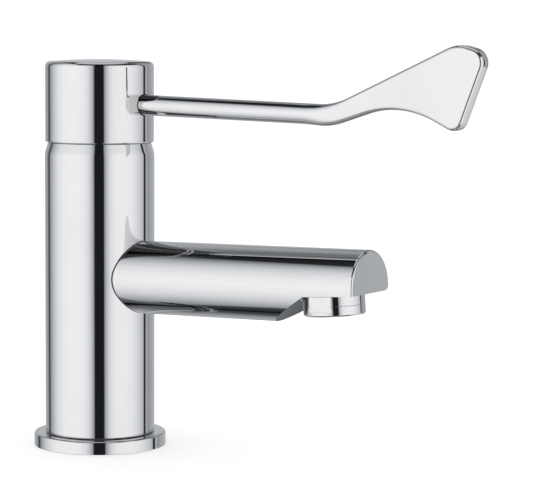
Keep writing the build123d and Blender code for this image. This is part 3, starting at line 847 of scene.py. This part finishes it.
def outlet_wedge():
    """What is cut off under the spout: a flat that ends in a sloping facet.

    The cut's far lower corner is the arc (side + r sin a, r - r cos a), run along the spout.
    """
    back, front, depth, reach = -5.6, 24.0, 30.0, 30.0
    far_side, corner = 14.68, 3.4
    slope_back = back - depth / math.tan(math.radians(28.5))
    bend = np.linspace(0, math.pi / 2, 9)
    sides = np.concatenate(((-reach,), far_side - corner + corner * np.sin(bend), (reach,)))
    lifts = np.concatenate(((0.0,), corner * (1 - np.cos(bend)), (corner,)))
    low = np.full_like(lifts, -depth)
    heights = np.stack((lifts, lifts, low, low), axis=-1)
    points, faces = skin(grid((back, front, front, slope_back), sides[:, None], heights))
    last = len(points)
    return points, faces + [(0, 3, 2, 1), tuple(range(last - 4, last))]


def build_aerator(sizes):
    """Aerator collar: a lathe profile with a chamfer, a fine groove, a lip and a sleeve.

    Two spanner flats are cut from its sides above the bottom rim.
    """
    radius, bore, mouth, sleeve = 12.1, 9.7, 8.9, 11.5
    profile = rounded(
        (
            (bore, 0), (bore, -7.1), (mouth, -7.1), (mouth, -8.1), (radius - 0.5, -8.1),
            (radius, -7.6), (radius, -4.35), (radius - 0.14, -4.2), (radius, -4.05),
            (radius, -0.4), (sleeve, -0.4), (sleeve, 6.5), (bore, 6.5), (bore, 0),
        ),
        (0.05, 0.05, 0.15, 0.12, 0.25, 0.05, 0.05, 0.05, 0.1, 0.05, 0.1, 0.1),
        steps=4, margin=0.04,
    )
    collar = on_outlet("aerator_surface", sizes, *lathe(profile[:-1], 256, loop=True))
    cutters = []
    flat, low, high = 11.15, -6.4, 1.0
    x, y = np.array((-15, 15, 15, -15)), np.array((0, 0, 6, 6)) + flat
    for side in (1, -1):
        points, faces = skin(grid(x * side, y * side, np.array(((low,), (high,)))))
        faces += [(0, 3, 2, 1), (4, 5, 6, 7)]
        cutters.append(on_outlet("flat_cut", sizes, points, faces))
    carve(collar, cutters)
    return collar


def build_cap(sizes):
    """Cap: a lathe profile of rounded rim, straight side, edge arc and shallow dome.

    The dome is the arc through the crown with radius (r squared + rise squared) / (2 rise).
    The edge arc touches the side and the dome from inside both. Holes for the lever and the
    cover of the grub screw are cut in the side.
    """
    low, high = box_mm("cap")
    radius, bottom, top = high[1], low[2], high[2]
    bore, step, hub = 19.4, 20.95, 8.05
    roof, hub_roof, wall_start = top - 5.3, top - 3.3, bottom + 4
    rise, edge = 1.1, sizes.cap_edge / MILLIMETRE
    dome = (radius ** 2 + rise ** 2) / (2 * rise)
    centre = top - dome
    level = centre + math.sqrt((dome - edge) ** 2 - (radius - edge) ** 2)
    lean = math.atan2(radius - edge, level - centre)
    turn = np.linspace(0, math.pi / 2 - lean, 13)[:, None]
    shoulder = np.hstack((radius - edge + edge * np.cos(turn), level + edge * np.sin(turn)))
    spread = np.linspace(lean - 0.0004, 0, 24)[:, None]
    crown = np.hstack((dome * np.sin(spread), centre + dome * np.cos(spread)))
    lip, lip_edge = bottom - sizes.cap_lip / MILLIMETRE, 0.6
    rim = rounded(
        (
            (bore, wall_start), (bore, bottom), (step, bottom), (step, lip), (radius, lip),
            (radius, level - 0.5),
        ),
        (0.3, 0.02, 0.02, lip_edge), steps=12, margin=0.03,
    )
    inside = rounded(
        ((0, hub_roof), (hub, hub_roof), (hub, roof), (bore, roof), (bore, wall_start)),
        (0.1, 0.1, 0.3), steps=4, margin=0.05,
    )
    profile = np.concatenate((inside[:-1], rim, ((radius, level - 0.08),), shoulder, crown))
    cap = new_object("cap_surface", *lathe(profile, 320))
    points, faces = upright(LEVER_ROOT_RADIUS + sizes.rod_gap / MILLIMETRE, 13, 30)
    rod_hole = on_lever("rod_hole", sizes, sizes.lever_slope, lying(points), faces)
    points, faces = upright(PLUG_RADIUS + 0.12, -30, -13, 96)
    screw_hole = on_lever("screw_hole", sizes, 0, lying(points), faces)
    carve(cap, [rod_hole, screw_hole])
    return cap


def build_plug(sizes):
    """Cover of the grub screw: a disc whose face follows the cap's side.

    A point is (-sqrt(R squared - y squared) + drop(r), r cos a, r sin a), where the drop is
    the edge's rounding.
    """
    radius, edge, wall, recess = PLUG_RADIUS, 0.3, 1.6, 0.06
    cap_radius = box_mm("cap")[1][1]
    bend = np.linspace(0, math.pi / 2, 7)
    face = np.linspace(0.4, radius - edge - 0.05, 8)
    reach = np.concatenate((face, radius - edge + edge * np.sin(bend)))[:, None]
    drop = np.concatenate((np.zeros(8), edge * (1 - np.cos(bend))))[:, None]
    angle = np.arange(96) * 2 * math.pi / 96
    y, z = -reach * np.cos(angle), reach * np.sin(angle)
    x = -np.sqrt(cap_radius ** 2 - y ** 2) + drop + recess
    back = grid(wall - cap_radius, y[-1:], z[-1:])
    rings = np.concatenate((grid(x, y, z), back))
    surface = skin(rings[::-1], (wall - cap_radius, 0, 0), (recess - cap_radius, 0, 0))
    return on_lever("plug_surface", sizes, 0, *surface)


# Where the paddle's flat face starts on the rod's round section
FACE_ANGLE = math.radians(77.5)


def edge_profile(half, edge, tilt, steps=12):
    """Depth below the outline, sideways place and bend of points over the plate's crowned rim.

    The crown is the parabola k y^2, which leaves the rim at the tilt; arcs lead to the faces.
    """
    outer = half - edge + edge * math.sin(tilt)
    curve = math.tan(tilt) / (2 * outer)
    centre = curve * outer ** 2 + edge * math.cos(tilt)
    bend = np.linspace(math.pi / 2, tilt, steps + 1)
    wall = np.array((0.85, 0.6, 0.3)) * outer
    depth = np.concatenate(
        ((centre + 0.1,), centre - edge * np.cos(bend), curve * wall ** 2)
    )
    place = np.concatenate(((half,), half - edge + edge * np.sin(bend), wall))
    side = math.radians(14)
    spread = side + (math.pi / 2 - 2 * side) * (bend - tilt) / (math.pi / 2 - tilt)
    angle = np.concatenate(((FACE_ANGLE,), spread, side * wall / outer))
    return (
        np.concatenate((depth, (0,), depth[::-1])),
        np.concatenate((-place, (0,), place[::-1])),
        np.concatenate((-angle, (0,), angle[::-1])),
    )


def build_lever(sizes):
    """Lever: a round rod that passes into a plate with rounded edges.

    Up to the plate, the section at x is (1 - s) times an ellipse plus s times the plate's own
    section, point by point, and s and the half width follow the smooth step 3t^2 - 2t^3.
    Beyond it, the rim is P(t) + d n(t): the outline, its inward normal and the depth d of each
    point of the edge profile. The outline is straight runs with an arc at each corner.
    """
    root, thin, tip_radius, tip_length = LEVER_ROOT_RADIUS, 4.07, 3.9, 5.2
    begin, start, join_at, neck = 11.2, 98.0, 120.0, 111.6
    half, reach, rise = 3.3, 64.9, 29.3
    # Corners of the paddle as shares of its reach and rise, from the top round to the underside
    shares = np.array(((0.806, 0.996), (1.002, 0.886), (0.829, -0.175), (0.445, 0.212)))
    tail = shares * (reach, rise) + (neck, 0)
    throat = (neck - 2, -thin - 0.48)
    corners = np.vstack(((start, thin), (neck, thin), tail, throat, (start, -thin)))
    radii = reach * np.array((0.5, 0.2, 0.09, 0.07, 0.62, 0.37))
    fine = rounded(corners, radii, steps=240)
    path, along = rounded_run(corners, radii, steps=40, margin=0.1)
    crown = int(np.argmax(fine[:, 0]))
    upper, lower = fine[:crown], fine[:crown:-1]
    depth, place, turned = edge_profile(half, sizes.plate_edge / MILLIMETRE, sizes.plate_crown)
    middle = len(depth) // 2

    x = np.concatenate(
        (np.linspace(begin, start - 0.5, 24), np.linspace(start, join_at, 57))
    )[:, None]
    rod = root + (thin - root) * np.clip((x - begin) / (start - begin), 0, 1)
    high = np.where(x < start, rod, np.interp(x, upper[:, 0], upper[:, 1]))
    low = np.where(x < start, -rod, np.interp(x, lower[:, 0], lower[:, 1]))
    tilt_high = np.interp(x, upper[:, 0], np.gradient(upper[:, 1], upper[:, 0]))
    tilt_low = np.interp(x, lower[:, 0], np.gradient(lower[:, 1], lower[:, 0]))
    t = np.clip((x - start) / (join_at - start), 0, 1)
    square = t * t * (3 - 2 * t)
    wide = rod + square * (half - rod)
    waist, centre = (high - low) / 2, (high + low) / 2

    def section(angle, side, level):
        """The share of the rod's ellipse plus the share of the plate."""
        round_y, round_z = wide * np.sin(angle), centre + waist * np.cos(angle)
        return (1 - square) * round_y + square * side, (1 - square) * round_z + square * level

    top_y, top_z = section(turned, place, high - depth * np.sqrt(1 + tilt_high ** 2))
    bottom_y, bottom_z = section(
        math.pi - turned, place, low + depth * np.sqrt(1 + tilt_low ** 2)
    )
    across = np.linspace(0, 1, 9)[1:-1]
    face_angle = FACE_ANGLE + across * (math.pi - 2 * FACE_ANGLE)
    face_top = high - depth[0] * np.sqrt(1 + tilt_high ** 2)
    face_low = low + depth[0] * np.sqrt(1 + tilt_low ** 2)
    face_level = face_top + (face_low - face_top) * across
    front_y, front_z = section(-face_angle, -half, face_level)
    back_y, back_z = section(face_angle, half, face_level)
    ring_y = np.hstack(
        (top_y[:, middle::-1], front_y, bottom_y, back_y[:, ::-1], top_y[:, :middle:-1])
    )
    ring_z = np.hstack(
        (top_z[:, middle::-1], front_z, bottom_z, back_z[:, ::-1], top_z[:, :middle:-1])
    )
    rings = grid(x, ring_y, ring_z)
    neck_ring = rings[0] * (1, tip_radius / root, tip_radius / root)
    tip_ring = neck_ring - (tip_length, 0, 0)
    rings = np.concatenate((tip_ring[None], neck_ring[None], rings))
    points, faces = skin(rings, (tip_ring[0, 0], 0, 0))

    kept = path[:, 0] > join_at + 0.3
    rim_x = (path[:, :1] + depth * along[:, 1:])[kept]
    rim_z = (path[:, 1:] - depth * along[:, :1])[kept]
    rim = np.concatenate(
        (
            grid(join_at, place, top_z[-1:]), grid(rim_x, place, rim_z),
            grid(join_at, place, bottom_z[-1:]),
        )
    )
    count, around = rim.shape[:2]
    number = len(points) + np.arange(count * around).reshape(count, around)
    near, far = number[:-1], number[1:]
    quads = np.stack((near[:, :-1], far[:, :-1], far[:, 1:], near[:, 1:]), axis=-1)
    faces += quads.reshape(-1, 4).tolist()
    points = np.vstack((points, rim.reshape(-1, 3)))
    for side, edge_line, turn in ((-half, number[:, 0], 1), (half, number[:, -1], -1)):
        flats = grid(join_at, side, face_level[-1])
        more = len(points) + np.arange(len(flats))[::-1]
        points = np.vstack((points, flats))
        faces.append(np.concatenate((edge_line, more))[::-turn].tolist())
    lever = on_lever("lever_surface", sizes, sizes.lever_slope, points, faces)
    weld(lever)
    return lever


# Properties

def length(name, description, default, high=1.0):
    """Length property in metres."""
    return bpy.props.FloatProperty(
        name=name, description=description, default=default, min=0, max=high,
        unit="LENGTH", subtype="DISTANCE", precision=4,
    )


def slant(name, description, default):
    """Angle property in radians."""
    return bpy.props.FloatProperty(
        name=name, description=description, default=default, subtype="ANGLE"
    )


def level(name, description, default, high=1.0):
    """Property for a share, or for a strength over one."""
    return bpy.props.FloatProperty(
        name=name, description=description, default=default, min=0, max=high, subtype="FACTOR"
    )


def colour(name, description, default):
    """Colour property without alpha."""
    return bpy.props.FloatVectorProperty(
        name=name, description=description, default=default, size=3, min=0, max=1, subtype="COLOR",
    )


class TapSizes(bpy.types.PropertyGroup):
    """Sizes of the visible pieces."""

    column_radius: length("Column radius", "Radius of the column's straight side", 0.0225)
    ring_edge: length("Ring edge", "Radius of the base ring's rounded rim", 0.0008)
    cap_edge: length("Cap edge", "Radius of the cap's rounded upper edge", 0.0022)
    cap_lip: length("Cap lip", "How far the cap's rim comes down over the gap", 0.0004)
    seal_gap: length("Seal gap", "Width of the dark joint at the spout's root", 0.0007)
    foot_gap: length("Foot gap", "Width of the dark joint at the column's foot", 0.0001)
    lever_height: length("Lever height", "Height of the lever's axis over the deck", 0.1414)
    lever_slope: slant("Lever slope", "How far the lever tips down", math.radians(1.27))
    rod_gap: length("Rod gap", "Gap round the rod where it leaves the cap", 0.0003)
    plate_edge: length("Plate edge", "Radius of the paddle's rounded edges", 0.0015)
    plate_crown: slant("Plate crown", "Turn of the rim towards its edges", math.radians(6))
    spout_height: length("Spout height", "Height of the spout's axis at the column", 0.07038)
    spout_slope: slant("Spout slope", "How far the spout rises", math.radians(1.25))
    outlet_height: length("Outlet height", "Height of the flat over the aerator", 0.07)
    outlet_tilt: slant("Outlet tilt", "How far the outlet tips outwards", math.radians(4))


class TapFinishes(bpy.types.PropertyGroup):
    """Colours and polish of the finishes."""

    chrome_colour: colour("Chrome", "Colour of the chrome plate", (0.64, 0.642, 0.645))
    chrome_edge: level("Chrome edge", "Share of the light kept at grazing angles", 0.85)
    chrome_roughness: level("Chrome roughness", "How soft the plate's reflections are", 0.035)
    brass_colour: colour("Brass", "Colour of the turned brass", (0.56, 0.42, 0.22))
    rubber_colour: colour("Rubber", "Colour of the seals", (0.022, 0.022, 0.024))
    plastic_colour: colour("Cartridge plastic", "Colour of the cartridge", (0.74, 0.74, 0.72))
    dark_colour: colour("Dark plastic", "Colour of the ring and the grid", (0.035, 0.035, 0.037))
    ceramic_colour: colour("Ceramic", "Colour of the discs", (0.82, 0.81, 0.79))
    steel_colour: colour("Steel", "Colour of the grub screw", (0.3, 0.29, 0.28))


class TapStudio(bpy.types.PropertyGroup):
    """Camera, floor and light."""

    distance: length("Distance", "How far the camera stands from the column", 0.912945, 10)
    height: length("Height", "Height of the camera", 0.170225)
    yaw: slant("Yaw", "Turn of the camera to the right", 0.075379)
    pitch: slant("Pitch", "Tip of the camera down", 0.095387)
    roll: slant("Roll", "Roll of the camera", 0.005450)
    turn: slant("Turn", "Turn of the camera round the tap", math.radians(35.905))
    lens: bpy.props.FloatProperty(
        name="Lens", description="Focal length in millimetres", default=149.68
    )
    floor_size: length("Floor size", "Side of the floor", 30.0, 100)
    floor_colour: colour("Floor", "Colour of the floor", (0.8, 0.8, 0.8))
    floor_glow: level("Floor glow", "White that only the camera sees on the floor", 0.36)
    room_level: level("Room level", "Even light on the tap", 0.95, 10)
    panels_level: level("Panels level", "Strength of the soft panels in gloss", 1.566, 10)
    panels_turn: slant("Panels turn", "From the camera's side to +X", math.radians(54.1))


# Operators

def chrome(context):
    """The chrome material, made once."""
    found = bpy.data.materials.get("Chrome plate")
    return found or make_chrome("Chrome plate", context.scene.tap_finishes)


def rubber(context):
    """The rubber material, made once."""
    found = bpy.data.materials.get("Seal rubber")
    tone = tuple(context.scene.tap_finishes.rubber_colour)
    lighter = tuple(part * 1.6 for part in tone)
    return found or make_moulded("Seal rubber", tone, lighter, 0.62, 3200.0, 0.00004)


def dress(context, build, body, node):
    """Makes a chromed piece that takes a CAD node's place."""
    settle(build(context.scene.tap_sizes), body, (node,), chrome(context))


class TAP_OT_stage(bpy.types.Operator):
    """Makes the camera, the floor and the light."""

    bl_idname = "tap.stage"
    bl_label = "Studio"

    def execute(self, context):
        settings = context.scene.tap_studio
        make_soft_panels()
        make_world(settings)
        make_floor(settings)
        make_camera(settings)
        context.scene.view_settings.view_transform = "Standard"
        return {"FINISHED"}


class TAP_OT_effects(bpy.types.Operator):
    """Makes the surface effects that the finishes share."""

    bl_idname = "tap.effects"
    bl_label = "Surface effects"

    def execute(self, context):
        make_handling_marks()
        make_fine_grain()
        make_turning_lines()
        return {"FINISHED"}


class TAP_OT_column(bpy.types.Operator):
    """Makes the column."""

    bl_idname = "tap.column"
    bl_label = "Column"

    def execute(self, context):
        dress(context, build_column, DECK_BODY, "column")
        return {"FINISHED"}


class TAP_OT_base_ring(bpy.types.Operator):
    """Makes the base ring."""

    bl_idname = "tap.base_ring"
    bl_label = "Base ring"

    def execute(self, context):
        dress(context, build_base_ring, DECK_BODY, "base_ring")
        return {"FINISHED"}


class TAP_OT_spout(bpy.types.Operator):
    """Makes the spout."""

    bl_idname = "tap.spout"
    bl_label = "Spout"

    def execute(self, context):
        dress(context, build_spout, DECK_BODY, "spout")
        return {"FINISHED"}


class TAP_OT_seals(bpy.types.Operator):
    """Makes the dark seals in the column's joints, which paint the shade of the gaps."""

    bl_idname = "tap.seals"
    bl_label = "Seals"

    def execute(self, context):
        for piece in build_shade_seals(context.scene.tap_sizes):
            # The dark rubber on these rings paints the shade of the joints.
            settle(piece, DECK_BODY, (), rubber(context))
        return {"FINISHED"}


class TAP_OT_aerator(bpy.types.Operator):
    """Makes the aerator's collar."""

    bl_idname = "tap.aerator"
    bl_label = "Aerator"

    def execute(self, context):
        dress(context, build_aerator, DECK_BODY, "aerator_housing")
        return {"FINISHED"}


class TAP_OT_cap(bpy.types.Operator):
    """Makes the cap and the cover of its grub screw."""

    bl_idname = "tap.cap"
    bl_label = "Cap"

    def execute(self, context):
        dress(context, build_cap, HEAD_BODY, "cap")
        dress(context, build_plug, HEAD_BODY, "cap_plug")
        return {"FINISHED"}


class TAP_OT_lever(bpy.types.Operator):
    """Makes the lever."""

    bl_idname = "tap.lever"
    bl_label = "Lever"

    def execute(self, context):
        dress(context, build_lever, HEAD_BODY, "lever")
        return {"FINISHED"}


class TAP_OT_inner_parts(bpy.types.Operator):
    """Gives the parts inside the tap their finishes."""

    bl_idname = "tap.inner_parts"
    bl_label = "Inner parts"

    def execute(self, context):
        wanted = context.scene.tap_finishes
        plastic = tuple(wanted.plastic_colour)
        dark = tuple(wanted.dark_colour)
        brass = tuple(wanted.brass_colour)
        ceramic = tuple(wanted.ceramic_colour)

        def shade(tone, share):
            return tuple(part * share for part in tone)

        finishes = {
            "Seal rubber": rubber(context),
            "Cartridge plastic": make_moulded(
                "Cartridge plastic", plastic, shade(plastic, 0.93), 0.42, 2400.0, 0.00002
            ),
            "Dark plastic": make_moulded(
                "Dark plastic", dark, shade(dark, 1.5), 0.45, 2400.0, 0.00002
            ),
            "Disc ceramic": make_ceramic("Disc ceramic", ceramic, shade(ceramic, 0.86)),
            "Turned brass": make_metal(
                "Turned brass", brass, shade(brass, 0.86), 0.24, 9000.0, 3.0
            ),
            "Grub screw steel": make_metal(
                "Grub screw steel", tuple(wanted.steel_colour), (0.2, 0.2, 0.21), 0.34, 12000.0, 2.0
            ),
        }
        for finish, nodes in INNER_FINISHES.items():
            for name in nodes:
                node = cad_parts[name]
                if not node.material_slots:
                    node.data.materials.append(finishes[finish])
                for slot in node.material_slots:
                    slot.material = finishes[finish]
        return {"FINISHED"}


class TAP_PT_panel(bpy.types.Panel):
    """The tap's pieces, sizes and finishes."""

    bl_idname = "TAP_PT_panel"
    bl_label = "Elbow lever tap"
    bl_space_type = "VIEW_3D"
    bl_region_type = "UI"
    bl_category = "Tap"

    def draw(self, context):
        layout = self.layout
        for operator in STEPS:
            layout.operator(operator.bl_idname)
        for settings in (
            context.scene.tap_sizes, context.scene.tap_finishes, context.scene.tap_studio
        ):
            part = layout.box()
            for name in settings.__annotations__:
                part.prop(settings, name)


STEPS = (
    TAP_OT_effects,
    TAP_OT_stage,
    TAP_OT_column,
    TAP_OT_base_ring,
    TAP_OT_spout,
    TAP_OT_seals,
    TAP_OT_aerator,
    TAP_OT_cap,
    TAP_OT_lever,
    TAP_OT_inner_parts,
)
GROUPS = {"tap_sizes": TapSizes, "tap_finishes": TapFinishes, "tap_studio": TapStudio}


def register():
    for group in GROUPS.values():
        bpy.utils.register_class(group)
    for name, group in GROUPS.items():
        setattr(bpy.types.Scene, name, bpy.props.PointerProperty(type=group))
    for operator in STEPS:
        bpy.utils.register_class(operator)
    bpy.utils.register_class(TAP_PT_panel)


def unregister():
    bpy.utils.unregister_class(TAP_PT_panel)
    for operator in reversed(STEPS):
        bpy.utils.unregister_class(operator)
    for name in GROUPS:
        delattr(bpy.types.Scene, name)
    for group in reversed(GROUPS.values()):
        bpy.utils.unregister_class(group)


def main():
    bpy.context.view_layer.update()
    register()
    bpy.ops.tap.effects()
    bpy.ops.tap.stage()
    bpy.ops.tap.column()
    bpy.ops.tap.base_ring()
    bpy.ops.tap.spout()
    bpy.ops.tap.seals()
    bpy.ops.tap.aerator()
    bpy.ops.tap.cap()
    bpy.ops.tap.lever()
    bpy.ops.tap.inner_parts()


if __name__ == "__main__":
    main()
